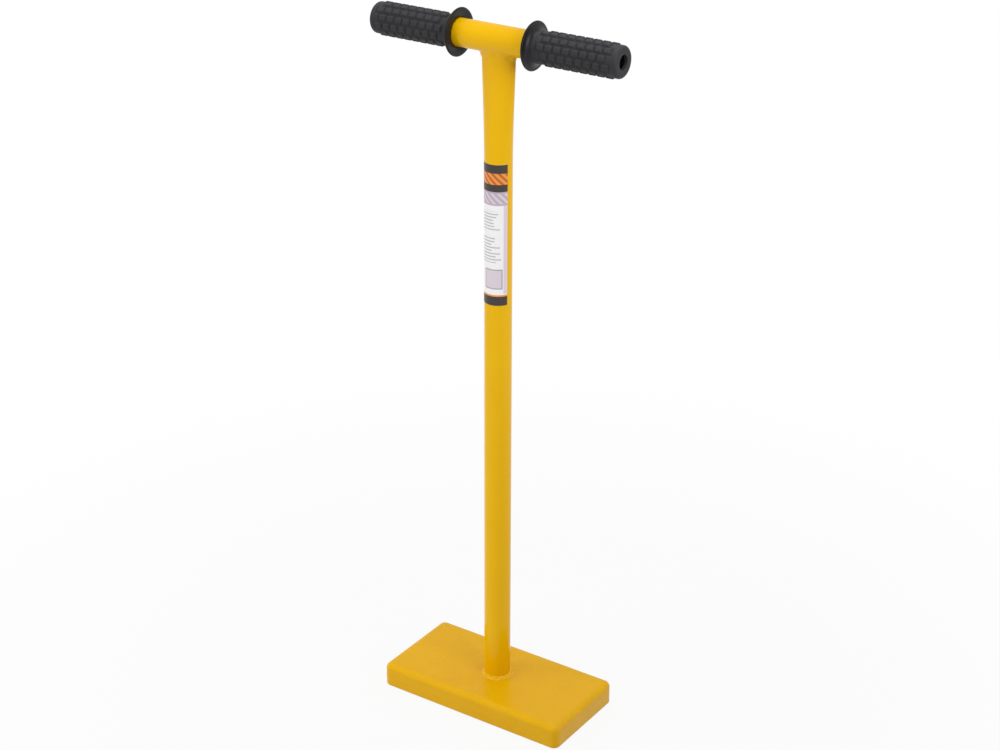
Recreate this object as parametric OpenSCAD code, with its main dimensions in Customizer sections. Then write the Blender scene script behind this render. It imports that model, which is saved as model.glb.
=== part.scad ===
// Hand tamper: a thick steel plate on a tube shaft, whose flattened top is welded under a tube crossbar.
// A soft grip is pushed on each end of the crossbar, and a label wraps the front of the shaft.
// Sizes are in millimetres. The origin is the middle of the plate's underside, with +X along the crossbar.

/* [Base plate] */
// Length of the plate, along the crossbar
plate_len = 256.5; // [180:0.5:340]
// Width of the plate, front to back
plate_wid = 128.5; // [90:0.5:240]
// Thickness of the plate
plate_thick = 30.6; // [20:0.1:50]
// Rounding of the plate's upright corners
plate_corner_r = 9; // [2:0.1:20]
// Rounding of the plate's top edges
plate_top_r = 7.5; // [0.5:0.1:9]
// Rounding of the plate's bottom edges
plate_edge_r = 3.5; // [0.5:0.1:5]

/* [Shaft] */
// Outside diameter of the shaft tube
shaft_od = 32; // [25:0.5:42]
// Wall of the shaft tube
shaft_wall = 2.8; // [1.5:0.1:4]
// Depth of the shaft's flattened top, front to back
neck_depth = 18.6; // [14:0.1:24]
// Length over which the shaft turns from round to flattened
neck_len = 111.5; // [60:0.5:200]
// Length of the fully flattened end under the crossbar
neck_flat = 10; // [2:0.5:30]

/* [Crossbar] */
// Outside diameter of the crossbar tube
bar_od = 32; // [26:0.5:42]
// Wall of the crossbar tube
bar_wall = 2.8; // [1.5:0.1:4]
// Length of the crossbar tube
bar_len = 312; // [270:1:460]
// Height of the crossbar's axis above the ground
bar_height = 835; // [600:5:1200]
// How far the crossbar's middle lies from the shaft's axis
bar_offset = -3; // [-12:0.5:12]

/* [Welds] */
// Leg of the fillet weld round the shaft's foot
foot_weld_leg = 4; // [2:0.5:8]
// Leg of the weld between the shaft's top and the crossbar
bar_weld_leg = 3; // [1.5:0.5:5]

/* [Grips] */
// Length of a grip, from the flange's face to its outer end
grip_len = 112; // [90:1:130]
// Thickness of the grip's sleeve, without its pads
grip_wall = 1.8; // [1.5:0.1:5]
// Thickness of the wall across the grip's outer end
grip_end_wall = 4; // [2:0.5:8]
// Diameter of the hole in the end wall
grip_hole_d = 16.5; // [6:0.5:20]
// Rounding of the grip's outer end
grip_end_r = 3.5; // [1:0.5:4]
// Gap between the grip's bore and the tube
grip_clear = 0.05; // [0:0.01:0.3]
// How far the lead-in at the mouth of the bore opens
grip_lead_in = 1.2; // [0.2:0.1:2]
// How far the flange stands out from the sleeve
flange_reach = 9.4; // [4:0.1:16]
// Thickness of the flange's rim
flange_thick = 2.5; // [1.5:0.1:5]

/* [Grip pads] */
// Rows of pads round the grip, each second row set half a step along
pad_rows = 12; // [8:2:18]
// Pads in a row
pads_per_row = 8; // [4:1:12]
// How far the pads stand out from the sleeve
pad_height = 1.3; // [0.4:0.1:2]
// Width of the grooves between pads
pad_groove = 1.8; // [0.8:0.1:3]
// Plain stretch between the flange's flare and the first pad
pad_start_gap = 2.8; // [1:0.1:10]
// Plain band at the grip's outer end
pad_end_band = 8.5; // [5:0.5:20]

/* [Label] */
// Height of the label
label_len = 167.5; // [60:0.5:200]
// Width of the label, measured round the tube
label_wid = 41; // [20:1:60]
// Thickness of the label
label_thick = 0.15; // [0.1:0.05:0.4]
// Thickness of the glue under the label
label_glue = 0.1; // [0.05:0.01:0.3]
// Gap between the label's top and the start of the flattened stretch
label_drop = 0; // [0:1:150]

/* [Hidden] */
$fn = 96;
steel_paint = "#e6ab18";
grip_black = "#2e2e31";
label_white = "#e4e2e6";

// Sides of the oval sections, and sections along the flattened stretch
oval_sides = 40;
neck_steps = 12;
// Overlap that makes unions and cuts clean
bite = 0.5;
// Step by which the flat-sided sections of the neck clear the round tube, so that the two meet cleanly
seam_step = 0.03;
// How far a weld's face bulges past flat, as a share of its leg
weld_bulge = 0.12;

shaft_r = shaft_od / 2;
bar_r = bar_od / 2;
neck_z = bar_height - bar_r - neck_flat - neck_len;
neck_skin = shaft_r / cos(180 / oval_sides) - shaft_r + seam_step;
label_z = neck_z - label_drop - label_len;
label_r = shaft_r + label_glue;
label_angle = label_wid / label_r * 180 / PI;
front = -90;

grip_bore_r = bar_r + grip_clear;
sleeve_r = grip_bore_r + grip_wall;
flange_r = sleeve_r + flange_reach;
rim_r = flange_thick / 2;
flare_r = flange_reach - rim_r;
pad_start = flange_thick + flare_r + pad_start_gap;
pad_zone = grip_len - pad_end_band - pad_start;
pad_pitch = (pad_zone + pad_groove) / (pads_per_row + 0.5);
pad_len = pad_pitch - pad_groove;
pad_angle = 360 / pad_rows - pad_groove / sleeve_r * 180 / PI;

// Share from 0 at the round tube to 1 at the flattened end, slow at first
function flatness(z) = pow(min(1, max(0, (z - neck_z) / neck_len)), 1.5);

function half_depth(z) = shaft_r + (neck_depth / 2 - shaft_r) * flatness(z);

// Half width of an oval of half depth b that has the same girth as the round tube
function half_width(b) = pow((sqrt(b) + sqrt(12 * shaft_r - 8 * b)) / 3, 2);

// One section of the squeezed tube at height z, grown by a distance from its nominal outer face
function oval(z, grow) = let (b = half_depth(z), a = half_width(b)) [
    for (i = [0 : oval_sides - 1])
        let (q = i * 360 / oval_sides) [(a + grow) * cos(q), (b + grow) * sin(q), z]
];

// Underside of the crossbar at a distance y from its axis
function bar_under(y) = bar_height - sqrt(bar_r * bar_r - y * y);

// Section of the weld bead at angle q round the neck, from its toe on the neck to its toe on the crossbar
function bead(q) = let (
    b = neck_depth / 2 + neck_skin,
    a = half_width(neck_depth / 2) + neck_skin,
    foot = [a * cos(q), b * sin(q)],
    slope = [cos(q) / a, sin(q) / b],
    out = slope / norm(slope),
    edge = foot + out * bar_weld_leg,
    low = bar_under(foot[1]),
    high = bar_under(edge[1]),
    belly = foot + out * bar_weld_leg * (0.5 + weld_bulge),
    belly_z = (low - bar_weld_leg + high) / 2 - bar_weld_leg * weld_bulge
) [
    [foot[0], foot[1], low - bar_weld_leg],
    [belly[0], belly[1], belly_z],
    [edge[0], edge[1], high],
    [edge[0], edge[1], high + bite],
    [foot[0], foot[1], low + bite]
];

// Quads that join section k to section k + 1, where each section has n points
function band(k, n, last) = [
    for (i = [0 : n - 1])
        let (j = (i + 1) % n, m = (k + 1) % last) [k * n + i, k * n + j, m * n + j, m * n + i]
];

// The same quad seen from its other side, and the same quad on points further down the list
function turned(f) = [f[3], f[2], f[1], f[0]];
function shifted(f, count) = [for (p = f) p + count];

module rounded_rect(w, h, r) {
    square([w - 2 * r, h], center = true);
    square([w, h - 2 * r], center = true);
    for (x = [-1, 1], y = [-1, 1])
        translate([x * (w / 2 - r), y * (h / 2 - r)]) circle(r);
}

// Upright section of the plate, with its own rounding along the top and along the bottom
module plate_side(w) {
    translate([-w / 2, plate_edge_r]) square([w, plate_thick - plate_edge_r - plate_top_r]);
    translate([-w / 2 + plate_edge_r, 0]) square([w - 2 * plate_edge_r, plate_thick / 2]);
    translate([-w / 2 + plate_top_r, plate_thick / 2]) square([w - 2 * plate_top_r, plate_thick / 2]);
    for (x = [-1, 1]) {
        translate([x * (w / 2 - plate_edge_r), plate_edge_r]) circle(plate_edge_r);
        translate([x * (w / 2 - plate_top_r), plate_thick - plate_top_r]) circle(plate_top_r);
    }
}

module base_plate() {
    color(steel_paint)
    intersection() {
        linear_extrude(plate_thick)
            rounded_rect(plate_len, plate_wid, plate_corner_r);
        rotate([90, 0, 0])
            linear_extrude(plate_wid, center = true) plate_side(plate_len);
        rotate([90, 0, 90])
            linear_extrude(plate_len, center = true) plate_side(plate_wid);
    }
}

// Solid that fills the crossbar tube's outside
module bar_outside(length) {
    translate([bar_offset, 0, bar_height])
        rotate([0, 90, 0]) cylinder(h = length, r = bar_r, center = true);
}

// Tube wall of the flattened stretch, up to the crossbar's axis
module neck_wall() {
    sections = neck_steps + 1;
    heights = [for (k = [0 : neck_steps]) neck_z + (bar_height - neck_z) * k / neck_steps];
    outside = [for (z = heights) each oval(z, neck_skin)];
    inside = [for (z = heights) each oval(z, -shaft_wall - seam_step)];
    count = sections * oval_sides;
    top = neck_steps * oval_sides;
    walls = [for (k = [0 : neck_steps - 1]) each band(k, oval_sides, sections)];
    outer_faces = [for (f = walls) turned(f)];
    inner_faces = [for (f = walls) shifted(f, count)];
    bottom_faces = [
        for (i = [0 : oval_sides - 1])
            let (j = (i + 1) % oval_sides) [i, j, count + j, count + i]
    ];
    top_faces = [for (f = bottom_faces) turned(shifted(f, top))];
    polyhedron(concat(outside, inside), concat(outer_faces, inner_faces, bottom_faces, top_faces));
}

module shaft_tube() {
    color(steel_paint)
    difference() {
        union() {
            translate([0, 0, plate_thick])
                difference() {
                    cylinder(h = neck_z - plate_thick, r = shaft_r);
                    translate([0, 0, -bite])
                        cylinder(h = neck_z - plate_thick + 2 * bite, r = shaft_r - shaft_wall);
                }
            neck_wall();
        }
        bar_outside(bar_len);
    }
}

module foot_weld() {
    belly = foot_weld_leg * (0.5 + weld_bulge);
    color(steel_paint)
    translate([0, 0, plate_thick])
        rotate_extrude()
            translate([shaft_r, 0])
                polygon([[0, 0], [foot_weld_leg, 0], [belly, belly], [0, foot_weld_leg]]);
}

module crossbar_tube() {
    color(steel_paint)
    difference() {
        bar_outside(bar_len);
        translate([bar_offset, 0, bar_height])
            rotate([0, 90, 0])
                cylinder(h = bar_len + 2 * bite, r = bar_r - bar_wall, center = true);
    }
}

module crossbar_weld() {
    ring = [for (i = [0 : oval_sides - 1]) bead(i * 360 / oval_sides)];
    points = [for (section = ring) each section];
    faces = [for (k = [0 : oval_sides - 1]) each band(k, len(ring[0]), oval_sides)];
    color(steel_paint)
    difference() {
        polyhedron(points, faces);
        bar_outside(bar_len);
    }
}

// Half section of a grip, with the bar's axis upright and the flange's face at zero
module grip_section() {
    difference() {
        union() {
            square([flange_r - rim_r, flange_thick]);
            translate([flange_r - rim_r, rim_r]) circle(rim_r);
            square([sleeve_r, grip_len - grip_end_r]);
            square([sleeve_r - grip_end_r, grip_len]);
            translate([sleeve_r - grip_end_r, grip_len - grip_end_r]) circle(grip_end_r);
            difference() {
                translate([sleeve_r - bite, flange_thick - bite]) square(flare_r + bite);
                translate([sleeve_r + flare_r, flange_thick + flare_r]) circle(flare_r);
            }
        }
        translate([0, -bite]) square([grip_bore_r, grip_len - grip_end_wall + bite]);
        square([grip_hole_d / 2, grip_len + bite]);
        polygon([[0, 0], [grip_bore_r + grip_lead_in, 0], [grip_bore_r, grip_lead_in], [0, grip_lead_in]]);
    }
}

module grip_pads() {
    for (row = [0 : pad_rows - 1], i = [0 : pads_per_row - 1])
        rotate([0, 0, row * 360 / pad_rows])
            translate([0, 0, pad_start + (i + (row % 2) / 2) * pad_pitch])
                rotate_extrude(angle = pad_angle)
                    translate([sleeve_r - bite, 0]) square([pad_height + bite, pad_len]);
}

// A grip on the crossbar's right end, seated with its end wall on the tube
module grip() {
    translate([bar_len / 2 + grip_end_wall - grip_len, 0, 0])
        rotate([0, 90, 0]) {
            rotate_extrude() grip_section();
            grip_pads();
        }
}

module grip_right() {
    color(grip_black)
    translate([bar_offset, 0, bar_height]) grip();
}

module grip_left() {
    color(grip_black)
    translate([bar_offset, 0, bar_height]) mirror([1, 0, 0]) grip();
}

module label() {
    color(label_white)
    translate([0, 0, label_z])
        rotate([0, 0, front - label_angle / 2])
            rotate_extrude(angle = label_angle)
                translate([label_r, 0]) square([label_thick, label_len]);
}

base_plate();
shaft_tube();
foot_weld();
crossbar_tube();
crossbar_weld();
grip_left();
grip_right();
label();
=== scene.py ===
import math

import bmesh
import bpy
from mathutils import Matrix, Vector, noise


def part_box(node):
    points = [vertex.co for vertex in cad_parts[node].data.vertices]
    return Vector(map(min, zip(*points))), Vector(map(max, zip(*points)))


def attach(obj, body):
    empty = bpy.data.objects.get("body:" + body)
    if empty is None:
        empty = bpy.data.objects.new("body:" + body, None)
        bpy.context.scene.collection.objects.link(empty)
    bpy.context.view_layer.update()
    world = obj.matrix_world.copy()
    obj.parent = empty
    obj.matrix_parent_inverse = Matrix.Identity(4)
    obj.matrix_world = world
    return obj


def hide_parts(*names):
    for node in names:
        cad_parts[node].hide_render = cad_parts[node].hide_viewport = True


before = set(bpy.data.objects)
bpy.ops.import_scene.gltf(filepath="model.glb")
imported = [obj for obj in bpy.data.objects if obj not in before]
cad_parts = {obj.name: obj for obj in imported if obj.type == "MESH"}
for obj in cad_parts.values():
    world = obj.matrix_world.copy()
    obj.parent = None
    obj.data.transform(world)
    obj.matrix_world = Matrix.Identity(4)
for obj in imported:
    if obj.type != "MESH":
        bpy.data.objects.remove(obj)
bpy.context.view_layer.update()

mm = 0.001
bodyName = "root"
noiseSpread = (0.3, 0.7)  # nearly all of a noise texture's values lie between these

# Places that the pieces share, read from the frame
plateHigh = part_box("base_plate")[1]  # the plate is centred on the origin
barLow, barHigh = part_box("crossbar_tube")
labelLow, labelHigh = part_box("label")
plateTop = plateHigh.z
barZ = (barLow.z + barHigh.z) / 2
tubeR = 16.0 * mm  # shaft and crossbar are cut from the same tube
tubeWall = 2.8 * mm
print("frame loaded, crossbar axis at", round(barZ / mm, 1), "mm")


# Helpers for colours, nodes and meshes

# The sRGB curve, undone
def hexToLinear(code):
    channels = [int(code[i:i + 2], 16) / 255 for i in (1, 3, 5)]
    return [c / 12.92 if c <= 0.04045 else ((c + 0.055) / 1.055) ** 2.4 for c in channels] + [1.0]


def clampShare(value):
    return min(max(value, 0), 1)


# Equal steps round a full turn
def turnAngles(count):
    return [2 * math.pi * i / count for i in range(count)]


# Adds a node; its inputs come as a list in socket order, or by name or number
def addNode(tree, kind, inputs=(), **settings):
    node = tree.nodes.new(kind)
    for name, value in settings.items():
        setattr(node, name, value)
    pairs = inputs.items() if isinstance(inputs, dict) else enumerate(inputs)
    for key, value in pairs:
        if isinstance(value, bpy.types.NodeSocket):
            tree.links.new(value, node.inputs[key])
        else:
            node.inputs[key].default_value = value
    return node


def startMaterial(name, **sockets):
    material = bpy.data.materials.new(name)
    material.use_nodes = True
    shader = material.node_tree.nodes["Principled BSDF"]
    for key, value in sockets.items():
        shader.inputs[key.replace("_", " ")].default_value = value
    return material, material.node_tree, shader


# Joins a row of equal loops of points into a mesh; wrapRows closes the last loop on the first
def skinLoops(loops, wrapRows=False):
    bm = bmesh.new()
    rows = [[bm.verts.new(point) for point in loop] for loop in loops]
    following = rows[1:] + rows[:1] if wrapRows else rows[1:]
    count = len(loops[0])
    for lower, upper in zip(rows, following):
        for i in range(count):
            j = (i + 1) % count
            bm.faces.new((lower[i], lower[j], upper[j], upper[i]))
    return bm


# Turns the faces outwards and keeps the points in their order
def makeMesh(bm, name):
    bmesh.ops.recalc_face_normals(bm, faces=bm.faces)
    mesh = bpy.data.meshes.new(name)
    bm.to_mesh(mesh)
    bm.free()
    return mesh


# Merges seams and poles first, for pieces with no values stored on their points
def closeMesh(bm, name, mergeGap=1e-7):
    bmesh.ops.remove_doubles(bm, verts=bm.verts, dist=mergeGap)
    bmesh.ops.dissolve_degenerate(bm, edges=bm.edges, dist=mergeGap)
    return makeMesh(bm, name)


def addPiece(name, mesh):
    piece = bpy.data.objects.new(name, mesh)
    bpy.context.scene.collection.objects.link(piece)
    return piece


def setAttribute(mesh, name, kind, values):
    key = "vector" if kind == "FLOAT_VECTOR" else "value"
    data = mesh.attributes.new(name, kind, "POINT").data
    for item, value in zip(data, values):
        setattr(item, key, value)


# Starts a Geometry Nodes tree with its named inputs
def startTree(name, inputs):
    tree = bpy.data.node_groups.new(name, "GeometryNodeTree")
    tree.interface.new_socket("Geometry", in_out="INPUT", socket_type="NodeSocketGeometry")
    for inputName, kind in inputs.items():
        tree.interface.new_socket(inputName, in_out="INPUT", socket_type="NodeSocket" + kind)
    tree.interface.new_socket("Geometry", in_out="OUTPUT", socket_type="NodeSocketGeometry")
    return tree, addNode(tree, "NodeGroupInput").outputs


# Ends a tree with real geometry in one material, because the export drops instances
def endTree(tree, geometry, material):
    whole = addNode(tree, "GeometryNodeRealizeInstances", {"Geometry": geometry})
    covered = addNode(tree, "GeometryNodeSetMaterial", {
        "Geometry": whole.outputs[0], "Material": material})
    addNode(tree, "NodeGroupOutput", {"Geometry": covered.outputs[0]})


# Runs a Geometry Nodes tree on a piece and keeps the result as its plain mesh
def runTree(piece, tree, inputs):
    modifier = piece.modifiers.new(tree.name, "NODES")
    modifier.node_group = tree
    identifiers = {item.name: item.identifier for item in tree.interface.items_tree}
    for name, value in inputs.items():
        modifier[identifiers[name]] = value
    evaluated = piece.evaluated_get(bpy.context.evaluated_depsgraph_get())
    made = bpy.data.meshes.new_from_object(evaluated)
    plain = piece.data
    piece.modifiers.remove(modifier)
    piece.data = made
    bpy.data.meshes.remove(plain)


def finishPiece(piece, node, smoothAngle):
    piece.data.shade_smooth()
    piece.data.set_sharp_from_angle(angle=math.radians(smoothAngle))
    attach(piece, bodyName)
    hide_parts(node)
    triangles = sum(len(face.vertices) - 2 for face in piece.data.polygons)
    print("made", piece.name, "with", triangles, "triangles")


# Camera, at the photograph's angle

cameraPlace = {
    "location": (1.21919, -1.80107, 1.44083),
    "yaw": -34.0345,  # this and the next two in degrees
    "pitch": 24.7906,
    "roll": 0.1632,
    "focalPixels": 2067.0,
    "imageWidth": 1000,
    "sensor": 36.0,  # width in mm
    "clipEnd": 60.0,
}


def makeCamera(place):
    yaw, pitch, roll = [math.radians(place[key]) for key in ("yaw", "pitch", "roll")]
    ahead = Vector((math.sin(yaw) * math.cos(pitch), math.cos(yaw) * math.cos(pitch), -math.sin(pitch)))
    level = Vector((math.cos(yaw), -math.sin(yaw), 0))
    upright = level.cross(ahead)
    right = level * math.cos(roll) + upright * math.sin(roll)
    up = upright * math.cos(roll) - level * math.sin(roll)
    data = bpy.data.cameras.new("camera")
    data.sensor_fit = "HORIZONTAL"
    data.sensor_width = place["sensor"]
    data.lens = place["focalPixels"] / place["imageWidth"] * place["sensor"]
    data.clip_end = place["clipEnd"]
    camera = bpy.data.objects.new("camera", data)
    bpy.context.scene.collection.objects.link(camera)
    turn = Matrix((right, up, -ahead)).transposed().to_4x4()
    camera.matrix_world = Matrix.Translation(place["location"]) @ turn
    bpy.context.scene.camera = camera


makeCamera(cameraPlace)
print("camera placed")


# Yellow polyester powder coat, sprayed and baked: a glossy skin, duller on the plate, with a fine orange
# peel, slightly deeper in patches; on the tubes, painted shade darkens it towards the plate and under the
# crossbar

tubePaint = {
    "colour": "#eab802",
    "deepColour": "#e3ac00",
    "patchSize": 70 * mm,
    "peelSize": 3.5 * mm,  # real peel is about 2 mm, drawn coarser so that it shows
    "peelDepth": 0.025 * mm,
    "ior": 1.5,
    "glossRange": (0.1, 0.16),
    "shine": 0.14,  # a dusty film takes some of the coat's mirror
    "paintedShadeColour": "#e0a400",
    # painted shade, towards the plate and just under the crossbar: two heights and the share that is
    # added between them
    "paintedShade": (
        (plateTop, plateTop + 80 * mm, 0.85, 0),
        (barLow.z - 60 * mm, barLow.z, 0, 0.35),
        (barLow.z, barLow.z + 10 * mm, 0, -0.35),
    ),
    "dentSize": 30 * mm,
    "dentDepth": 0.12 * mm,
}

platePaint = {
    "colour": "#e2ae02",
    "deepColour": "#daa300",
    "patchSize": 26 * mm,
    "peelSize": 4.5 * mm,  # thicker film over the rolled face, so a broader peel
    "peelDepth": 0.05 * mm,
    "ior": 1.5,
    "glossRange": (0.2, 0.32),
    "shine": 0.18,
    "paintedShade": (),
    "dentSize": 14 * mm,
    "dentDepth": 0.22 * mm,
}

# the foot's bead takes the tube's colour without its painted shade, and no dust stays on its lumps
weldPaint = {**tubePaint, "shine": 0.3, "glossRange": (0.16, 0.24), "paintedShade": ()}


def makePowderCoat(name, paint):
    material, tree, shader = startMaterial(name, IOR=paint["ior"], Specular_IOR_Level=paint["shine"])
    place = addNode(tree, "ShaderNodeTexCoord").outputs["Object"]
    patches = addNode(tree, "ShaderNodeTexNoise", {
        "Vector": place, "Scale": 1 / paint["patchSize"], "Detail": 3.0, "Roughness": 0.55})
    colour = addNode(tree, "ShaderNodeMix", {
        0: patches.outputs["Fac"], 6: hexToLinear(paint["colour"]), 7: hexToLinear(paint["deepColour"])},
        data_type="RGBA")
    # painted shade: between the given heights the colour darkens towards the shade colour, at the plate
    # and under the crossbar
    if paint["paintedShade"]:
        height = addNode(tree, "ShaderNodeSeparateXYZ", [place]).outputs["Z"]
        paintedShadeShare = 0.0
        for start, end, first, last in paint["paintedShade"]:
            added = addNode(tree, "ShaderNodeMapRange", {
                "Value": height, "From Min": start, "From Max": end, "To Min": first, "To Max": last},
                interpolation_type="SMOOTHSTEP")
            paintedShadeShare = addNode(tree, "ShaderNodeMath", [paintedShadeShare, added.outputs["Result"]],
                               operation="ADD").outputs[0]
        colour = addNode(tree, "ShaderNodeMix", {
            0: paintedShadeShare, 6: colour.outputs[2], 7: hexToLinear(paint["paintedShadeColour"])}, data_type="RGBA")
    tree.links.new(colour.outputs[2], shader.inputs["Base Color"])
    gloss = addNode(tree, "ShaderNodeMapRange", {
        "Value": patches.outputs["Fac"], "From Min": noiseSpread[0], "From Max": noiseSpread[1],
        "To Min": paint["glossRange"][0], "To Max": paint["glossRange"][1]})
    tree.links.new(gloss.outputs["Result"], shader.inputs["Roughness"])
    dents = addNode(tree, "ShaderNodeTexNoise", {
        "Vector": place, "Scale": 1 / paint["dentSize"], "Detail": 2.0})
    dentBump = addNode(tree, "ShaderNodeBump", {
        "Height": dents.outputs["Fac"], "Distance": paint["dentDepth"], "Strength": 1.0})
    peel = addNode(tree, "ShaderNodeTexNoise", {
        "Vector": place, "Scale": 1 / paint["peelSize"], "Detail": 1.5})
    peelBump = addNode(tree, "ShaderNodeBump", {
        "Height": peel.outputs["Fac"], "Distance": paint["peelDepth"], "Strength": 1.0,
        "Normal": dentBump.outputs["Normal"]})
    tree.links.new(peelBump.outputs["Normal"], shader.inputs["Normal"])
    return material


tubeCoat = makePowderCoat("yellowPowderCoatOnTube", tubePaint)
plateCoat = makePowderCoat("yellowPowderCoatOnPlate", platePaint)
weldCoat = makePowderCoat("yellowPowderCoatOnWeld", weldPaint)


# Drawn steel with its mill scale, inside the tubes where no paint reaches: dark, dull and blotchy

scaleSteel = {
    "colour": "#3f3d3b",
    "rustColour": "#42382f",
    "metallic": 0.6,  # scale is part oxide
    "roughness": 0.62,
    "blotchSize": 9 * mm,
    "grainSize": 1.2 * mm,
    "grainDepth": 0.05 * mm,
}


def makeScaleSteel(steel):
    material, tree, shader = startMaterial(
        "drawnSteelWithMillScale", Metallic=steel["metallic"], Roughness=steel["roughness"])
    place = addNode(tree, "ShaderNodeTexCoord").outputs["Object"]
    blotches = addNode(tree, "ShaderNodeTexNoise", {
        "Vector": place, "Scale": 1 / steel["blotchSize"], "Detail": 4.0})
    colour = addNode(tree, "ShaderNodeMix", {
        0: blotches.outputs["Fac"], 6: hexToLinear(steel["colour"]), 7: hexToLinear(steel["rustColour"])},
        data_type="RGBA")
    tree.links.new(colour.outputs[2], shader.inputs["Base Color"])
    grain = addNode(tree, "ShaderNodeTexNoise", {
        "Vector": place, "Scale": 1 / steel["grainSize"], "Detail": 2.0}).outputs["Fac"]
    bump = addNode(tree, "ShaderNodeBump", {"Height": grain, "Distance": steel["grainDepth"]})
    tree.links.new(bump.outputs["Normal"], shader.inputs["Normal"])
    return material


bareSteel = makeScaleSteel(scaleSteel)


# Soft black PVC, dip moulded: a satin skin with a fine grain, grey dust in random patches, painted top
# light on the pads where they face up, painted shade in the grooves, and a glossier black darkened by
# painted shade on the flange

gripVinyl = {
    "flangeShadeColour": "#1a1a1c",
    "grooveShadeColour": "#2e2e30",
    "padColour": "#313133",
    "dustAndTopLightColour": "#444449",
    "dustSize": 16 * mm,
    "dustSpread": (0.45, 0.75),  # noise of the cleanest and of the dustiest spots
    "dustRange": (0.0, 0.2),  # share of dust on those spots
    "paintedTopLight": 0.55,  # painted top light: the share of light grey on the pads where they look up
    "grainSize": 1.1 * mm,  # real grain is about 0.3 mm, drawn coarser so that it shows
    "grainDepth": 0.03 * mm,
    "ior": 1.52,
    "glossRange": (0.5, 0.62),
    "flangeGloss": 0.34,  # handled skin is dull, the flange keeps the mould's gloss
    "shine": 0.15,
    "flangeShine": 0.17,
}


def makeVinyl(vinyl):
    material, tree, shader = startMaterial("mouldedSoftBlackVinyl", IOR=vinyl["ior"])
    place = addNode(tree, "ShaderNodeTexCoord").outputs["Object"]
    groove = addNode(tree, "ShaderNodeAttribute", attribute_name="groove").outputs["Fac"]
    flange = addNode(tree, "ShaderNodeAttribute", attribute_name="flange").outputs["Fac"]
    # painted shade: the grooves a little darker than the pads, and the flange darker still
    sleeve = addNode(tree, "ShaderNodeMix", {
        0: groove, 6: hexToLinear(vinyl["padColour"]), 7: hexToLinear(vinyl["grooveShadeColour"])},
        data_type="RGBA")
    body = addNode(tree, "ShaderNodeMix", {
        0: flange, 6: sleeve.outputs[2], 7: hexToLinear(vinyl["flangeShadeColour"])}, data_type="RGBA")
    dust = addNode(tree, "ShaderNodeTexNoise", {
        "Vector": place, "Scale": 1 / vinyl["dustSize"], "Detail": 4.0, "Roughness": 0.6})
    dustShare = addNode(tree, "ShaderNodeMapRange", {
        "Value": dust.outputs["Fac"],
        "From Min": vinyl["dustSpread"][0], "From Max": vinyl["dustSpread"][1],
        "To Min": vinyl["dustRange"][0], "To Max": vinyl["dustRange"][1]})
    # painted top light: the pads turn a lighter grey where they face up, added to the random dust
    facing = addNode(tree, "ShaderNodeNewGeometry").outputs["Normal"]
    upward = addNode(tree, "ShaderNodeSeparateXYZ", [facing]).outputs["Z"]
    paintedTopLightShare = addNode(tree, "ShaderNodeMapRange", {"Value": upward, "To Max": vinyl["paintedTopLight"]})
    groovesOrFlange = addNode(tree, "ShaderNodeMath", [groove, flange], operation="MAXIMUM")
    offGroovesAndFlange = addNode(tree, "ShaderNodeMath", [1.0, groovesOrFlange.outputs[0]], operation="SUBTRACT")
    dustAndTopLight = addNode(tree, "ShaderNodeMath", [
        paintedTopLightShare.outputs[0], offGroovesAndFlange.outputs[0], dustShare.outputs[0]], operation="MULTIPLY_ADD")
    colour = addNode(tree, "ShaderNodeMix", {
        0: dustAndTopLight.outputs[0], 6: body.outputs[2], 7: hexToLinear(vinyl["dustAndTopLightColour"])}, data_type="RGBA")
    tree.links.new(colour.outputs[2], shader.inputs["Base Color"])
    gloss = addNode(tree, "ShaderNodeMapRange", {
        "Value": dust.outputs["Fac"], "From Min": noiseSpread[0], "From Max": noiseSpread[1],
        "To Min": vinyl["glossRange"][0], "To Max": vinyl["glossRange"][1]})
    roughness = addNode(tree, "ShaderNodeMix", {
        0: flange, 2: gloss.outputs["Result"], 3: vinyl["flangeGloss"]})
    tree.links.new(roughness.outputs[0], shader.inputs["Roughness"])
    shine = addNode(tree, "ShaderNodeMapRange", {
        "Value": flange, "To Min": vinyl["shine"], "To Max": vinyl["flangeShine"]})
    tree.links.new(shine.outputs["Result"], shader.inputs["Specular IOR Level"])
    grain = addNode(tree, "ShaderNodeTexNoise", {
        "Vector": place, "Scale": 1 / vinyl["grainSize"], "Detail": 2.0}).outputs["Fac"]
    bump = addNode(tree, "ShaderNodeBump", {"Height": grain, "Distance": vinyl["grainDepth"]})
    tree.links.new(bump.outputs["Normal"], shader.inputs["Normal"])
    return material


softVinyl = makeVinyl(gripVinyl)
print("paint, steel and vinyl mixed")


# Base plate: thick rolled plate with its edges ground round, slightly uneven under the paint

plate = {
    "cornerRound": 9.0 * mm,
    "topRound": 7.5 * mm,
    "soleRound": 3.5 * mm,
    "gridStep": 1.5 * mm,
    "cornerSteps": 10,
    "topSteps": 10,
    "soleSteps": 5,
    "faceRings": 22,
    "faceDip": 0.22 * mm,  # deepest hollow of the rolled face
    "faceDipSize": 48 * mm,
    "sideDip": 0.38 * mm,  # deepest hollow of the cut sides
    "sideDipSize": 9 * mm,
    "sideDipLayers": 3,  # dips on dips
    "sideDipFiner": 2.0,  # how much finer each layer is than the last
    "sideDipFade": 0.8,  # how fast the finer layers weaken
    "flatRound": 26 * mm,  # true flat round the shaft's foot, under the weld; dips are full at twice this
    "mergeGap": 0.001 * mm,  # closer points become one, where the innermost rings close up
    "smoothAngle": 60,
}


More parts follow.
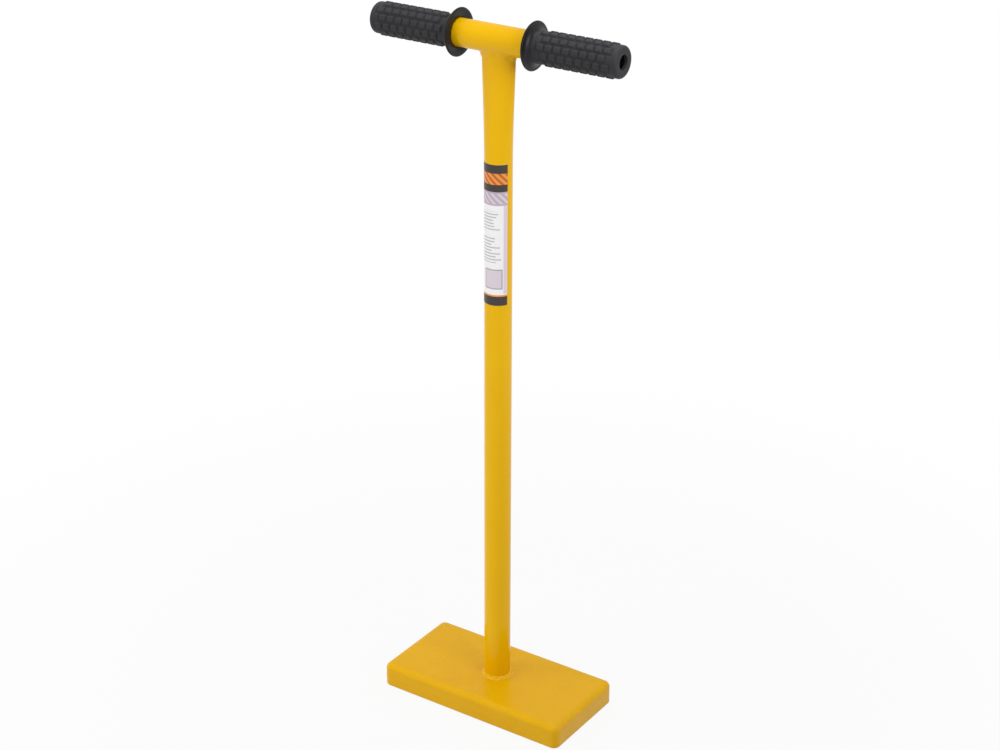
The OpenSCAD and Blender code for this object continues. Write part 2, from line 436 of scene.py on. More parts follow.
def plateOutline(inset):
    halfX = plateHigh.x - inset
    halfY = plateHigh.y - inset
    turnR = max(plate["cornerRound"] - inset, 0)
    arcs = []
    for side, (signX, signY) in enumerate(((1, 1), (-1, 1), (-1, -1), (1, -1))):
        arc = []
        for k in range(plate["cornerSteps"] + 1):
            angle = math.radians(90 * (side + k / plate["cornerSteps"]))
            arc.append(Vector((signX * (halfX - turnR) + turnR * math.cos(angle),
                               signY * (halfY - turnR) + turnR * math.sin(angle))))
        arcs.append(arc)
    steps = [round(2 * high / plate["gridStep"]) for high in (plateHigh.x, plateHigh.y)] * 2
    points = []
    for arc, after, count in zip(arcs, arcs[1:] + arcs[:1], steps):
        points += arc
        points += [arc[-1].lerp(after[0], k / count) for k in range(1, count)]
    return points


def plateLevels():
    topR = plate["topRound"]
    soleR = plate["soleRound"]
    rings = range(plate["faceRings"], 0, -1)
    soleTurns = [math.pi / 2 * k / plate["soleSteps"] for k in range(plate["soleSteps"] + 1)]
    topTurns = [math.pi / 2 * k / plate["topSteps"] for k in range(plate["topSteps"] + 1)]
    sideSteps = round((plateTop - topR - soleR) / plate["gridStep"])
    levels = [(soleR + (plateHigh.y - soleR) * k / plate["faceRings"], 0) for k in rings]
    levels += [(soleR * (1 - math.sin(a)), soleR * (1 - math.cos(a))) for a in soleTurns]
    levels += [(0, soleR + (plateTop - topR - soleR) * k / sideSteps) for k in range(1, sideSteps)]
    levels += [(topR * (1 - math.cos(a)), plateTop - topR * (1 - math.sin(a))) for a in topTurns]
    levels += [(topR + (plateHigh.y - topR) * k / plate["faceRings"], plateTop) for k in reversed(rings)]
    return levels


def makePlate():
    loops = [[(p.x, p.y, z) for p in plateOutline(inset)] for inset, z in plateLevels()]
    mesh = closeMesh(skinLoops(loops), "basePlate", plate["mergeGap"])
    normals = [vertex.normal.copy() for vertex in mesh.vertices]
    for vertex, normal in zip(mesh.vertices, normals):
        if vertex.co.z < plate["soleRound"]:
            continue  # the sole stays flat
        faceShare = max(normal.z, 0)
        faceNoise = noise.noise(vertex.co / plate["faceDipSize"])
        sideNoise = noise.fractal(vertex.co / plate["sideDipSize"], plate["sideDipFade"],
                                  plate["sideDipFiner"], plate["sideDipLayers"])
        faceDip = plate["faceDip"] * (0.5 + 0.5 * faceNoise)  # noise runs from about -1 to 1
        sideDip = plate["sideDip"] * (0.5 + 0.5 * sideNoise)
        dip = min(max(faceDip * faceShare + sideDip * (1 - faceShare), 0), plate["sideDip"])
        fromShaft = math.hypot(vertex.co.x, vertex.co.y) - plate["flatRound"]
        vertex.co -= normal * dip * clampShare(fromShaft / plate["flatRound"])
    mesh.materials.append(plateCoat)
    finishPiece(addPiece("basePlate", mesh), "base_plate", plate["smoothAngle"])


makePlate()


# Shaft: a round tube, squeezed flat at the top to an oval of the same girth and coped to the crossbar

shaft = {
    "neckDepth": 18.6 * mm,
    "neckLength": 111.5 * mm,
    "neckFlat": 10 * mm,  # fully flattened end under the crossbar
    "neckPower": 1.5,  # the squeeze starts slowly
    "sides": 144,
    "tubeSteps": 8,
    "neckSteps": 48,
    "smoothAngle": 40,
}
neckStart = barZ - tubeR - shaft["neckFlat"] - shaft["neckLength"]


def neckPoint(angle, height, grow):
    flat = clampShare((height - neckStart) / shaft["neckLength"]) ** shaft["neckPower"]
    halfDepth = tubeR + (shaft["neckDepth"] / 2 - tubeR) * flat
    # an oval's girth is about pi * (1.5 * (a + b) - sqrt(a * b)), solved here for the round tube's girth
    halfWidth = ((math.sqrt(halfDepth) + math.sqrt(12 * tubeR - 8 * halfDepth)) / 3) ** 2
    return Vector(((halfWidth + grow) * math.cos(angle), (halfDepth + grow) * math.sin(angle), height))


def barUnder(y):
    return barZ - math.sqrt(tubeR * tubeR - y * y)


def shaftLoops(grow):
    angles = turnAngles(shaft["sides"])
    loops = []
    for k in range(shaft["tubeSteps"]):
        height = plateTop + (neckStart - plateTop) * k / shaft["tubeSteps"]
        loops.append([neckPoint(angle, height, grow) for angle in angles])
    for k in range(shaft["neckSteps"] + 1):
        loop = []
        for angle in angles:
            top = barUnder(neckPoint(angle, barZ, grow).y)
            loop.append(neckPoint(angle, neckStart + (top - neckStart) * k / shaft["neckSteps"], grow))
        loops.append(loop)
    return loops


# Paint outside and bare steel inside, by which way a face looks from the tube's axis
def coatTube(mesh, onAxis, direction):
    mesh.materials.append(tubeCoat)
    mesh.materials.append(bareSteel)
    for face in mesh.polygons:
        fromAxis = face.center - onAxis
        outward = fromAxis - direction * fromAxis.dot(direction)
        face.material_index = 1 if outward.dot(face.normal) < 0 else 0


def makeShaft():
    outside = shaftLoops(0)
    inside = shaftLoops(-tubeWall)
    mesh = closeMesh(skinLoops(outside + inside[::-1], wrapRows=True), "shaftTube")
    coatTube(mesh, Vector((0, 0, 0)), Vector((0, 0, 1)))
    finishPiece(addPiece("shaftTube", mesh), "shaft_tube", shaft["smoothAngle"])


makeShaft()


# Crossbar: a straight length of the same tube, open inside the grips

crossbar = {"sides": 144, "steps": 24, "smoothAngle": 40}


def makeCrossbar():
    def ring(x, radius):
        angles = turnAngles(crossbar["sides"])
        return [(x, radius * math.cos(a), barZ + radius * math.sin(a)) for a in angles]

    length = barHigh.x - barLow.x
    places = [barLow.x + length * k / crossbar["steps"] for k in range(crossbar["steps"] + 1)]
    loops = [ring(x, tubeR) for x in places] + [ring(x, tubeR - tubeWall) for x in reversed(places)]
    mesh = closeMesh(skinLoops(loops, wrapRows=True), "crossbarTube")
    coatTube(mesh, Vector((0, 0, barZ)), Vector((1, 0, 0)))
    finishPiece(addPiece("crossbarTube", mesh), "crossbar_tube", crossbar["smoothAngle"])


makeCrossbar()


# Weld beads: laid by hand in short pulses, so the face has ripples across it and a few lumps,
# all painted over

def buildBeadTree():
    tree, given = startTree("weldBead", {
        "Ripple pitch": "Float", "Ripple height": "Float", "Lump size": "Float", "Lump level": "Float",
        "Lump height": "Float", "Seed": "Int", "Coat": "Material"})
    pitch = given["Ripple pitch"]
    along, across = [
        addNode(tree, "GeometryNodeInputNamedAttribute", {"Name": name}, data_type="FLOAT").outputs[0]
        for name in ("along", "across")]
    # ripples are crescents: their fronts lag at the toes of the bead
    lag = addNode(tree, "ShaderNodeMath", [across, pitch], operation="MULTIPLY").outputs[0]
    front = addNode(tree, "ShaderNodeMath", [along, lag], operation="ADD").outputs[0]
    turns = addNode(tree, "ShaderNodeMath", [front, pitch], operation="DIVIDE").outputs[0]
    phase = addNode(tree, "ShaderNodeMath", [turns, 2 * math.pi], operation="MULTIPLY").outputs[0]
    wave = addNode(tree, "ShaderNodeMath", [phase], operation="SINE").outputs[0]
    ripple = addNode(tree, "ShaderNodeMath", [wave, given["Ripple height"]],
                     operation="MULTIPLY").outputs[0]
    # lumps stand up where a fixed noise is high, and nothing sinks where it is low
    fineness = addNode(tree, "ShaderNodeMath", [1.0, given["Lump size"]], operation="DIVIDE").outputs[0]
    lumps = addNode(tree, "ShaderNodeTexNoise", {
        "W": given["Seed"], "Scale": fineness, "Detail": 1.0}, noise_dimensions="4D").outputs["Fac"]
    above = addNode(tree, "ShaderNodeMath", [lumps, given["Lump level"]], operation="SUBTRACT").outputs[0]
    risen = addNode(tree, "ShaderNodeMath", [above, 0.0], operation="MAXIMUM").outputs[0]
    lump = addNode(tree, "ShaderNodeMath", [risen, given["Lump height"]], operation="MULTIPLY").outputs[0]
    # both fade out towards the toes
    rise = addNode(tree, "ShaderNodeMath", [ripple, lump], operation="ADD").outputs[0]
    height = addNode(tree, "ShaderNodeMath", [rise, across], operation="MULTIPLY").outputs[0]
    normal = addNode(tree, "GeometryNodeInputNormal").outputs[0]
    offset = addNode(tree, "ShaderNodeVectorMath", {0: normal, "Scale": height}, operation="SCALE")
    moved = addNode(tree, "GeometryNodeSetPosition", {
        "Geometry": given["Geometry"], "Offset": offset.outputs[0]})
    endTree(tree, moved.outputs[0], given["Coat"])
    return tree


beadTree = buildBeadTree()

footBead = {
    "leg": 3.4 * mm,
    "hollow": 0.4,  # how far the face sinks from flat towards the root
    "sides": 220,
    "faceSteps": 10,
    "ripplePitch": 3.4 * mm,
    "rippleHeight": 0.1 * mm,
    "lumpSize": 4 * mm,
    "lumpLevel": 0.44,  # lumps rise where the noise, 0 to 1, lies above this
    "lumpHeight": 8 * mm,  # for noise of 1, which it never reaches
    "seed": 19,
    "smoothAngle": 50,
}

neckBead = {
    "barLeg": 3.0 * mm,
    "neckLeg": 6.5 * mm,
    "hollow": 0.62,
    "sides": 220,
    "faceSteps": 10,
    "ripplePitch": 3.2 * mm,
    "rippleHeight": 0.07 * mm,
    "lumpSize": 9 * mm,
    "lumpLevel": 0.42,
    "lumpHeight": 5 * mm,
    "seed": 3,
    "smoothAngle": 50,
    "turnStep": 0.001,  # small turn, in radians, that shows which way the neck faces
}


# One section of a bead: from its toe on one piece, over the hollow face, to its toe on the other piece,
# then the root
def beadSection(firstToe, otherToe, root, bead):
    pull = ((firstToe + otherToe) / 2).lerp(root, bead["hollow"])
    points = []
    for k in range(bead["faceSteps"] + 1):
        share = k / bead["faceSteps"]
        onFace = firstToe.lerp(pull, share).lerp(pull.lerp(otherToe, share), share)
        points.append((onFace, math.sin(math.pi * share)))
    points.append((root, 0))
    return points


def makeBead(name, node, bead, sectionAt, coat):
    sections = [sectionAt(angle) for angle in turnAngles(bead["sides"])]
    loops = [[point for point, crown in section] for section in sections]
    mesh = makeMesh(skinLoops(loops, wrapRows=True), name)
    walked = 0
    along = []
    for i, loop in enumerate(loops):
        along += [walked] * len(loop)
        walked += (loops[(i + 1) % len(loops)][0] - loop[0]).length
    wholeRipples = max(round(walked / bead["ripplePitch"]), 1)  # so that the last ripple meets the first
    setAttribute(mesh, "along", "FLOAT", along)
    setAttribute(mesh, "across", "FLOAT", [crown for section in sections for point, crown in section])
    piece = addPiece(name, mesh)
    runTree(piece, beadTree, {
        "Ripple pitch": walked / wholeRipples, "Ripple height": bead["rippleHeight"],
        "Lump size": bead["lumpSize"], "Lump level": bead["lumpLevel"], "Lump height": bead["lumpHeight"],
        "Seed": bead["seed"], "Coat": coat})
    finishPiece(piece, node, bead["smoothAngle"])


def footSection(angle):
    outward = Vector((math.cos(angle), math.sin(angle), 0))
    root = outward * tubeR + Vector((0, 0, plateTop))
    onPlate = root + outward * footBead["leg"]
    onShaft = root + Vector((0, 0, footBead["leg"]))
    return beadSection(onPlate, onShaft, root, footBead)


def neckSection(angle):
    onNeck = neckPoint(angle, barZ, 0)
    step = neckBead["turnStep"]
    beside = neckPoint(angle + step, barZ, 0) - neckPoint(angle - step, barZ, 0)
    outward = Vector((beside.y, -beside.x, 0)).normalized()
    edge = onNeck + outward * neckBead["barLeg"]
    root = Vector((onNeck.x, onNeck.y, barUnder(onNeck.y)))
    lowToe = root - Vector((0, 0, neckBead["neckLeg"]))
    barToe = Vector((edge.x, edge.y, barUnder(edge.y)))
    return beadSection(lowToe, barToe, root, neckBead)


makeBead("footWeld", "foot_weld", footBead, footSection, weldCoat)
makeBead("crossbarWeld", "crossbar_weld", neckBead, neckSection, tubeCoat)


# Grips: moulded sleeves with a dished flange, staggered pads and a holed end

grip = {
    "wall": 1.8 * mm,
    "endWall": 4.0 * mm,
    "holeR": 8.25 * mm,
    "holeRound": 0.8 * mm,
    "endRound": 3.5 * mm,
    "clear": 0.05 * mm,
    "leadIn": 1.2 * mm,
    "flangeReach": 9.4 * mm,
    "flangeThick": 2.5 * mm,
    "flangeShadeFade": 0.8 * mm,  # rise of the flare over which the pads' grey gives way to the flange's black with its painted shade
    "padRows": 12,
    "padsPerRow": 8,
    "padHeight": 1.3 * mm,
    "padGroove": 1.8 * mm,
    "grooveDepth": 0.5 * mm,  # how far the grooves sink below the plain sleeve
    "padStartGap": 2.8 * mm,
    "padEndBand": 8.5 * mm,
    "padSoftness": 1.5 * mm,  # how far the moulded edge of a pad rolls off
    "padFoot": 0.4,  # a roll-off starts this share of its reach out in the groove
    "padCorner": 1.6 * mm,
    "padShift": 0.5,  # each second row is set this share of a pad along
    "stepsPerPad": 20,
    "rimSteps": 12,
    "flareSteps": 20,
    "endSteps": 8,
    "holeSteps": 5,
    "smoothAngle": 50,
}


def gripProfile(length):
    boreR = tubeR + grip["clear"]
    sleeveR = boreR + grip["wall"]
    flangeR = sleeveR + grip["flangeReach"]
    rimR = grip["flangeThick"] / 2
    flareR = grip["flangeReach"] - rimR
    endR = grip["endRound"]
    padStart = grip["flangeThick"] + flareR + grip["padStartGap"]
    padZone = length - grip["padEndBand"] - padStart
    pitch = (padZone + grip["padGroove"]) / (grip["padsPerRow"] + grip["padShift"])
    step = pitch / grip["stepsPerPad"]

    def arc(centreS, centreR, radius, start, end, count):
        angles = [math.radians(start + (end - start) * k / count) for k in range(count + 1)]
        return [(centreS + radius * math.cos(a), centreR + radius * math.sin(a)) for a in angles]

    # each point is a distance along the bar and a radius, from the bore's mouth round to the bore's end
    points = [(0, boreR + grip["leadIn"])]
    points += arc(rimR, flangeR - rimR, rimR, 180, 0, grip["rimSteps"])
    rimEnd = len(points)
    points += arc(grip["flangeThick"] + flareR, sleeveR + flareR, flareR, 180, 270, grip["flareSteps"])
    sleeveStart = len(points)
    first = -math.floor(grip["padStartGap"] / step)
    last = math.floor((length - endR - padStart) / step)
    points += [(padStart + k * step, sleeveR) for k in range(first, last)]
    sleeveEnd = len(points)
    points += arc(length - endR, sleeveR - endR, endR, 90, 0, grip["endSteps"])
    holeRound = grip["holeRound"]
    points += arc(length - holeRound, grip["holeR"] + holeRound, holeRound, 0, -90, grip["holeSteps"])
    points += [(length - grip["endWall"], grip["holeR"]), (length - grip["endWall"], boreR)]
    points += [(grip["leadIn"], boreR)]
    # the flange's share, which takes its gloss and its painted shade
    onFlange = [1.0] * rimEnd
    onFlange += [clampShare((r - sleeveR) / grip["flangeShadeFade"]) for s, r in points[rimEnd:]]
    return points, onFlange, (sleeveStart, sleeveEnd), padStart, pitch, sleeveR


def buildPadTree():
    numbers = ("Rows", "Row width", "Row shift", "Pad start", "Pad pitch", "Pads per row", "Pad height",
               "Pad corner", "Groove", "Groove depth", "Softness", "Foot share", "Axis height")
    tree, given = startTree("gripPads", {**dict.fromkeys(numbers, "Float"), "Vinyl": "Material"})
    pitch = given["Pad pitch"]
    along, turn, sleeve = [
        addNode(tree, "GeometryNodeInputNamedAttribute", {"Name": name}, data_type="FLOAT").outputs[0]
        for name in ("along", "turn", "sleeve")]
    # place in the row, counted in pads, with each second row set along
    rowPlace = addNode(tree, "ShaderNodeMath", [turn, given["Rows"]], operation="MULTIPLY").outputs[0]
    row = addNode(tree, "ShaderNodeMath", [rowPlace], operation="FLOOR").outputs[0]
    odd = addNode(tree, "ShaderNodeMath", [row, 2.0], operation="FLOORED_MODULO").outputs[0]
    shift = addNode(tree, "ShaderNodeMath", [odd, given["Row shift"]], operation="MULTIPLY").outputs[0]
    reach = addNode(tree, "ShaderNodeMath", [along, given["Pad start"]], operation="SUBTRACT").outputs[0]
    steps = addNode(tree, "ShaderNodeMath", [reach, pitch], operation="DIVIDE").outputs[0]
    inPads = addNode(tree, "ShaderNodeMath", [steps, shift], operation="SUBTRACT").outputs[0]
    # distance from the middle of the nearest groove, along the bar and round it
    halfGroove, halfPitch, halfRow = [
        addNode(tree, "ShaderNodeMath", [width, 0.5], operation="MULTIPLY").outputs[0]
        for width in (given["Groove"], pitch, given["Row width"])]
    alongPad = addNode(tree, "ShaderNodeMath", [inPads, pitch, halfGroove],
                       operation="MULTIPLY_ADD").outputs[0]
    acrossPad = addNode(tree, "ShaderNodeMath", [rowPlace, given["Row width"], halfGroove],
                        operation="MULTIPLY_ADD").outputs[0]
    fromEnds = addNode(tree, "ShaderNodeMath", [alongPad, halfPitch], operation="PINGPONG").outputs[0]
    fromSides = addNode(tree, "ShaderNodeMath", [acrossPad, halfRow], operation="PINGPONG").outputs[0]
    nearest = addNode(tree, "ShaderNodeMath", [fromEnds, fromSides, given["Pad corner"]],
                      operation="SMOOTH_MIN").outputs[0]
    # the soft edge of a pad
    foot = addNode(tree, "ShaderNodeMath", [given["Softness"], given["Foot share"]],
                   operation="MULTIPLY").outputs[0]
    lowEdge = addNode(tree, "ShaderNodeMath", [halfGroove, foot], operation="SUBTRACT").outputs[0]
    highEdge = addNode(tree, "ShaderNodeMath", [given["Softness"], halfGroove],
                       operation="ADD").outputs[0]
    slope = addNode(tree, "ShaderNodeMapRange", {
        "Value": nearest, "From Min": lowEdge, "From Max": highEdge},
        interpolation_type="SMOOTHSTEP").outputs[0]
    # the padded stretch of this row, with one groove before its first pad
    fromFirst = addNode(tree, "ShaderNodeMath", [alongPad, halfGroove], operation="ADD").outputs[0]
    begun = addNode(tree, "ShaderNodeMath", [fromFirst, 0.0], operation="GREATER_THAN").outputs[0]
    unended = addNode(tree, "ShaderNodeMath", [inPads, given["Pads per row"]],
                      operation="LESS_THAN").outputs[0]
    inRow = addNode(tree, "ShaderNodeMath", [begun, unended], operation="MULTIPLY").outputs[0]
    padded = addNode(tree, "ShaderNodeMath", [inRow, sleeve], operation="MULTIPLY").outputs[0]
    share = addNode(tree, "ShaderNodeMath", [slope, padded], operation="MULTIPLY").outputs[0]
    grooved = addNode(tree, "ShaderNodeMath", [padded, share], operation="SUBTRACT").outputs[0]
    kept = addNode(tree, "GeometryNodeStoreNamedAttribute", {
        "Geometry": given["Geometry"], "Name": "groove", "Value": grooved},
        data_type="FLOAT", domain="POINT")
    # pads rise away from the bar's axis, and the grooves sink
    axis = addNode(tree, "ShaderNodeCombineXYZ", {"Z": given["Axis height"]}).outputs[0]
    here = addNode(tree, "GeometryNodeInputPosition").outputs[0]
    fromAxis = addNode(tree, "ShaderNodeVectorMath", [here, axis], operation="SUBTRACT").outputs[0]
    flat = addNode(tree, "ShaderNodeVectorMath", [fromAxis, (0, 1, 1)], operation="MULTIPLY").outputs[0]
    outward = addNode(tree, "ShaderNodeVectorMath", [flat], operation="NORMALIZE").outputs[0]
    sunk = addNode(tree, "ShaderNodeMath", [grooved, given["Groove depth"]],
                   operation="MULTIPLY").outputs[0]
    risen = addNode(tree, "ShaderNodeMath", [share, given["Pad height"]], operation="MULTIPLY").outputs[0]
    height = addNode(tree, "ShaderNodeMath", [risen, sunk], operation="SUBTRACT").outputs[0]
    offset = addNode(tree, "ShaderNodeVectorMath", {0: outward, "Scale": height}, operation="SCALE")
    moved = addNode(tree, "GeometryNodeSetPosition", {
        "Geometry": kept.outputs[0], "Offset": offset.outputs[0]})
    endTree(tree, moved.outputs[0], given["Vinyl"])
    return tree


padTree = buildPadTree()


def makeGrip(name, node, direction):
    low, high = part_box(node)
    startX = low.x if direction > 0 else high.x
    points, onFlange, (sleeveStart, sleeveEnd), padStart, pitch, sleeveR = gripProfile(high.x - low.x)
    columns = grip["padRows"] * grip["stepsPerPad"]
    loops = []
    for angle in turnAngles(columns):
        sideways = math.sin(angle)
        down = math.cos(angle)
        loops.append([(startX + direction * s, r * sideways, barZ - r * down) for s, r in points])
    mesh = makeMesh(skinLoops(loops, wrapRows=True), name)
    onSleeve = [1.0 if sleeveStart <= i < sleeveEnd else 0.0 for i in range(len(points))]
    setAttribute(mesh, "along", "FLOAT", [s for s, r in points] * columns)
    setAttribute(mesh, "sleeve", "FLOAT", onSleeve * columns)
    setAttribute(mesh, "flange", "FLOAT", onFlange * columns)
    setAttribute(mesh, "turn", "FLOAT", [k / columns for k in range(columns) for point in points])
    piece = addPiece(name, mesh)
    runTree(piece, padTree, {
        "Rows": float(grip["padRows"]), "Row width": 2 * math.pi * sleeveR / grip["padRows"],
        "Row shift": grip["padShift"], "Foot share": grip["padFoot"],
        "Pad start": padStart, "Pad pitch": pitch, "Pads per row": float(grip["padsPerRow"]),
        "Pad height": grip["padHeight"], "Pad corner": grip["padCorner"], "Softness": grip["padSoftness"],
        "Groove": grip["padGroove"], "Groove depth": grip["grooveDepth"],
        "Axis height": barZ, "Vinyl": softVinyl})
    finishPiece(piece, node, grip["smoothAngle"])


makeGrip("gripLeft", "grip_left", -1)
makeGrip("gripRight", "grip_right", 1)


# Label: printed coated paper under a clear film, glued round the front of the shaft

label = {
    "width": 41 * mm,
    "thick": 0.15 * mm,
    "glue": 0.1 * mm,
    "columns": 56,
    "rows": 12,
    "smoothAngle": 40,
    "roughness": 0.34,
    "ior": 1.49,
    "inks": {
        "white": "#efeeef",
        "charcoal": "#352d29",
        "orange": "#e8923c",
        "deepOrange": "#b85a1c",
        "lilac": "#b9a9b8",
        "paleLilac": "#d6cad5",
        "grey": "#b0aeb1",
        "boxGrey": "#98969a",
    },
    # blocks of ink, in print order: middle across and up from the lower left corner, width, height, in mm
    "blocks": (
        ("lilac", 2.5, 67.0, 5.0, 106.0),
        ("paleLilac", 38.5, 67.0, 5.0, 106.0),
        ("charcoal", 20.5, 5.5, 41.0, 11.0),
        ("orange", 20.5, 12.0, 41.0, 2.0),
        ("lilac", 20.5, 128.0, 41.0, 16.0),
        ("charcoal", 20.5, 151.75, 41.0, 31.5),
        ("orange", 20.5, 151.0, 41.0, 13.0),
        ("boxGrey", 24.0, 32.0, 22.0, 24.0),
        ("paleLilac", 24.0, 32.0, 19.6, 21.6),
    ),
    # ruled lines: middle and height of each group, and their spacing, start and ends, in mm too
    "ruled": ((67.0, 30.0), (101.0, 24.0)),
    "rulePitch": 3.6,
    "ruleShare": 0.18,
    "ruleStart": 8.5,
    "ruleEnds": (22.0, 34.0),
    # slanted stripes: ink, middle and height of each band
    "striped": (("paleLilac", 128.0, 12.0), ("deepOrange", 151.0, 13.0)),
    "stripePitch": 8.0,
    "stripeShare": 0.22,
    "creaseSize": 6 * mm,
    "creaseDepth": 0.04 * mm,
}


def makeLabelPrint():
    material, tree, shader = startMaterial(
        "printedCoatedPaper", Roughness=label["roughness"], IOR=label["ior"])
    inks = {name: hexToLinear(code) for name, code in label["inks"].items()}
    place = addNode(tree, "ShaderNodeAttribute", attribute_name="printPlace").outputs["Vector"]
    across, up = addNode(tree, "ShaderNodeSeparateXYZ", [place]).outputs[:2]
    printed = inks["white"]
    for ink, middleX, middleY, width, height in label["blocks"]:
        inWidth = addNode(tree, "ShaderNodeMath", [across, middleX, width / 2], operation="COMPARE")
        inHeight = addNode(tree, "ShaderNodeMath", [up, middleY, height / 2], operation="COMPARE")
        share = addNode(tree, "ShaderNodeMath", [inWidth.outputs[0], inHeight.outputs[0]],
                        operation="MULTIPLY").outputs[0]
        printed = addNode(tree, "ShaderNodeMix", {
            0: share, 6: printed, 7: inks[ink]}, data_type="RGBA").outputs[2]
    stepMiddle = 0.5  # lines and stripes lie in the middle of their steps
    # ruled lines of uneven length
    ruleStep = addNode(tree, "ShaderNodeMath", [up, label["rulePitch"]], operation="DIVIDE").outputs[0]
    ruleNumber = addNode(tree, "ShaderNodeMath", [ruleStep], operation="FLOOR").outputs[0]
    ruleChance = addNode(tree, "ShaderNodeTexWhiteNoise", {
        "W": ruleNumber}, noise_dimensions="1D").outputs["Value"]
    ruleEnd = addNode(tree, "ShaderNodeMapRange", {
        "Value": ruleChance, "To Min": label["ruleEnds"][0], "To Max": label["ruleEnds"][1]}).outputs[0]
    inStep = addNode(tree, "ShaderNodeMath", [ruleStep], operation="FRACT").outputs[0]
    onRule = addNode(tree, "ShaderNodeMath", [inStep, stepMiddle, label["ruleShare"]],
                     operation="COMPARE").outputs[0]
    started = addNode(tree, "ShaderNodeMath", [across, label["ruleStart"]],
                      operation="GREATER_THAN").outputs[0]
    unended = addNode(tree, "ShaderNodeMath", [across, ruleEnd], operation="LESS_THAN").outputs[0]
    inLine = addNode(tree, "ShaderNodeMath", [started, unended], operation="MULTIPLY").outputs[0]
    line = addNode(tree, "ShaderNodeMath", [inLine, onRule], operation="MULTIPLY").outputs[0]
    for middleY, height in label["ruled"]:
        inGroup = addNode(tree, "ShaderNodeMath", [up, middleY, height / 2], operation="COMPARE")
        share = addNode(tree, "ShaderNodeMath", [line, inGroup.outputs[0]],
                        operation="MULTIPLY").outputs[0]
        printed = addNode(tree, "ShaderNodeMix", {
            0: share, 6: printed, 7: inks["grey"]}, data_type="RGBA").outputs[2]
    # slanted stripes
    slant = addNode(tree, "ShaderNodeMath", [across, up], operation="ADD").outputs[0]
    stripeStep = addNode(tree, "ShaderNodeMath", [slant, label["stripePitch"]],
                         operation="DIVIDE").outputs[0]
    inStripe = addNode(tree, "ShaderNodeMath", [stripeStep], operation="FRACT").outputs[0]
    stripe = addNode(tree, "ShaderNodeMath", [inStripe, stepMiddle, label["stripeShare"]],
                     operation="COMPARE").outputs[0]
    for ink, middleY, height in label["striped"]:
        inBand = addNode(tree, "ShaderNodeMath", [up, middleY, height / 2], operation="COMPARE")
        share = addNode(tree, "ShaderNodeMath", [stripe, inBand.outputs[0]],
                        operation="MULTIPLY").outputs[0]
        printed = addNode(tree, "ShaderNodeMix", {
            0: share, 6: printed, 7: inks[ink]}, data_type="RGBA").outputs[2]
    tree.links.new(printed, shader.inputs["Base Color"])
    there = addNode(tree, "ShaderNodeTexCoord").outputs["Object"]
    creases = addNode(tree, "ShaderNodeTexNoise", {
        "Vector": there, "Scale": 1 / label["creaseSize"], "Detail": 2.0}).outputs["Fac"]
    bump = addNode(tree, "ShaderNodeBump", {"Height": creases, "Distance": label["creaseDepth"]})
    tree.links.new(bump.outputs["Normal"], shader.inputs["Normal"])
    return material


def makeLabel():
    innerR = tubeR + label["glue"]
    outerR = innerR + label["thick"]
    sweep = label["width"] / innerR
    length = labelHigh.z - labelLow.z
    levels = [k / label["rows"] for k in range(label["rows"] + 1)]
    ring = [(outerR, level) for level in levels] + [(innerR, level) for level in reversed(levels)]
    loops = []
    places = []
    for i in range(label["columns"] + 1):
        share = i / label["columns"]
        angle = -math.pi / 2 + (share - 0.5) * sweep  # its middle looks straight to the front
        outX = math.cos(angle)
        outY = math.sin(angle)
        loops.append([(r * outX, r * outY, labelLow.z + length * level) for r, level in ring])
        places += [(label["width"] / mm * share, length / mm * level, 0) for r, level in ring]
    bm = skinLoops(loops)
    bm.verts.ensure_lookup_table()
    bm.faces.new(bm.verts[:len(ring)])
    bm.faces.new(bm.verts[-len(ring):])
    mesh = makeMesh(bm, "printedLabel")
    setAttribute(mesh, "printPlace", "FLOAT_VECTOR", places)
    mesh.materials.append(makeLabelPrint())
    finishPiece(addPiece("printedLabel", mesh), "label", label["smoothAngle"])


makeLabel()


# Floor, white to the eye, with the object's soft shadow on it

floorLook = {
    "half": 12.0,  # half its width in metres
    "segments": 8,
    "paper": "#c6c6c6",
    "glow": 0.92,  # share of plain white that the eye and the gloss see, the rest is lit paper
    "shadowReach": (0.35, 1.1),  # where the shadow starts and ends to fade out
}


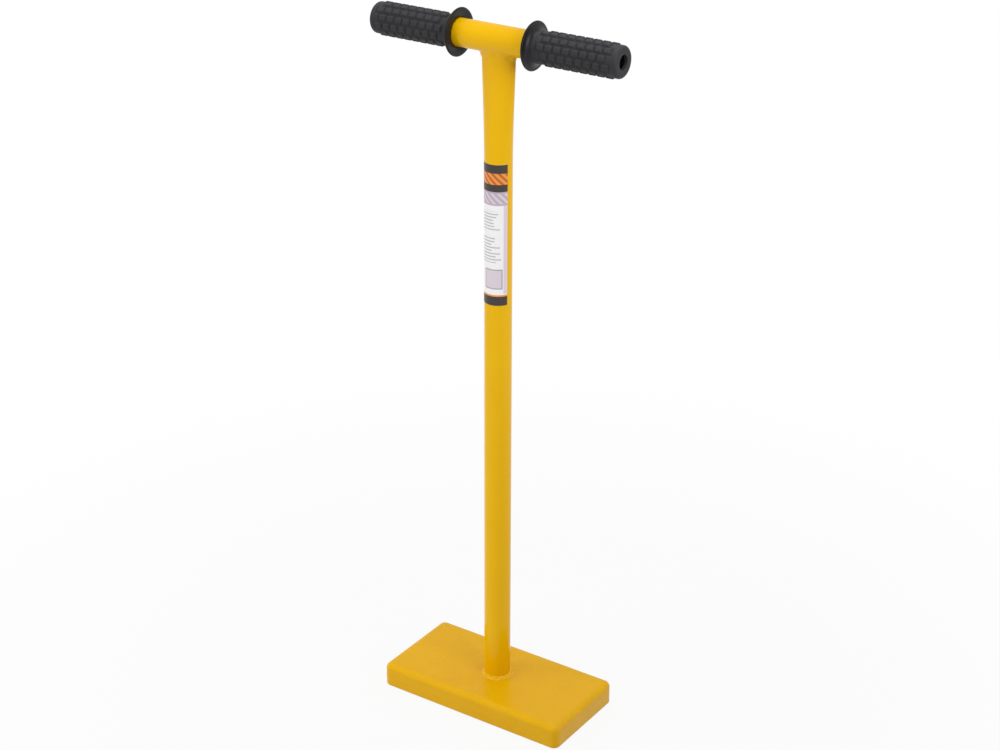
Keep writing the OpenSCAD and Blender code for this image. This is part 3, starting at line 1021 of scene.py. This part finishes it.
def makeFloor():
    bm = bmesh.new()
    segments = floorLook["segments"]
    bmesh.ops.create_grid(bm, x_segments=segments, y_segments=segments, size=floorLook["half"])
    mesh = bpy.data.meshes.new("floor")
    bm.to_mesh(mesh)
    bm.free()
    floor = addPiece("floor", mesh)
    material = bpy.data.materials.new("mattWhitePaper")
    material.use_nodes = True
    tree = material.node_tree
    tree.nodes.clear()
    path = addNode(tree, "ShaderNodeLightPath").outputs
    place = addNode(tree, "ShaderNodeTexCoord").outputs["Object"]
    reach = addNode(tree, "ShaderNodeVectorMath", [place], operation="LENGTH").outputs["Value"]
    glowHere = addNode(tree, "ShaderNodeMapRange", {
        "Value": reach, "From Min": floorLook["shadowReach"][0], "From Max": floorLook["shadowReach"][1],
        "To Min": floorLook["glow"], "To Max": 1.0}, interpolation_type="SMOOTHSTEP")
    seen = addNode(tree, "ShaderNodeMath", [path["Is Camera Ray"], path["Is Glossy Ray"]],
                   operation="ADD")
    seenToo = addNode(tree, "ShaderNodeMath", [seen.outputs[0], path["Is Transmission Ray"]],
                      operation="ADD")
    glowShare = addNode(tree, "ShaderNodeMath", [seenToo.outputs[0], glowHere.outputs["Result"]],
                        operation="MULTIPLY", use_clamp=True)
    paper = addNode(tree, "ShaderNodeBsdfDiffuse", {"Color": hexToLinear(floorLook["paper"])})
    glow = addNode(tree, "ShaderNodeEmission", {"Strength": 1.0})
    both = addNode(tree, "ShaderNodeMixShader", {
        0: glowShare.outputs[0], 1: paper.outputs[0], 2: glow.outputs[0]})
    addNode(tree, "ShaderNodeOutputMaterial", {"Surface": both.outputs[0]})
    mesh.materials.append(material)


makeFloor()


# Light: a broad soft source above, one low on the left and one behind a grid on the right,
# in an even surround; a mirrored lamp shows in the gloss, and a spread is in degrees

lamps = {
    "top": {"place": (0, 0.1, 2.6), "aim": (0, 0, 0.55), "size": 1.4, "spread": 180, "watts": 12.8,
            "mirrored": True},
    "left": {"place": (-1.2, -1.2, 0.5), "aim": (0, 0, 0.55), "size": 1.0, "spread": 180, "watts": 9.9,
             "mirrored": False},
    "right": {"place": (1.4, -0.4, 1.3), "aim": (0, 0, 0.8), "size": 1.0, "spread": 62, "watts": 1.75,
              "mirrored": True},
}
surround = {"strength": 0.75, "colour": "#ffffff"}


def makeLamp(name, lamp):
    data = bpy.data.lights.new(name, "AREA")
    data.shape = "DISK"
    data.size = lamp["size"]
    data.spread = math.radians(lamp["spread"])
    data.energy = lamp["watts"]
    light = bpy.data.objects.new(name, data)
    light.location = lamp["place"]
    light.visible_glossy = lamp["mirrored"]
    towards = Vector(lamp["aim"]) - Vector(lamp["place"])
    light.rotation_euler = towards.to_track_quat("-Z", "Y").to_euler()
    bpy.context.scene.collection.objects.link(light)


for lampName, lampSpec in lamps.items():
    makeLamp(lampName, lampSpec)


def makeStudio():
    world = bpy.data.worlds.new("studio")
    world.use_nodes = True
    sky = world.node_tree.nodes["Background"]
    sky.inputs["Strength"].default_value = surround["strength"]
    sky.inputs["Color"].default_value = hexToLinear(surround["colour"])
    bpy.context.scene.world = world


makeStudio()
bpy.context.scene.view_settings.view_transform = "Standard"
print("floor, lamps and surround set")
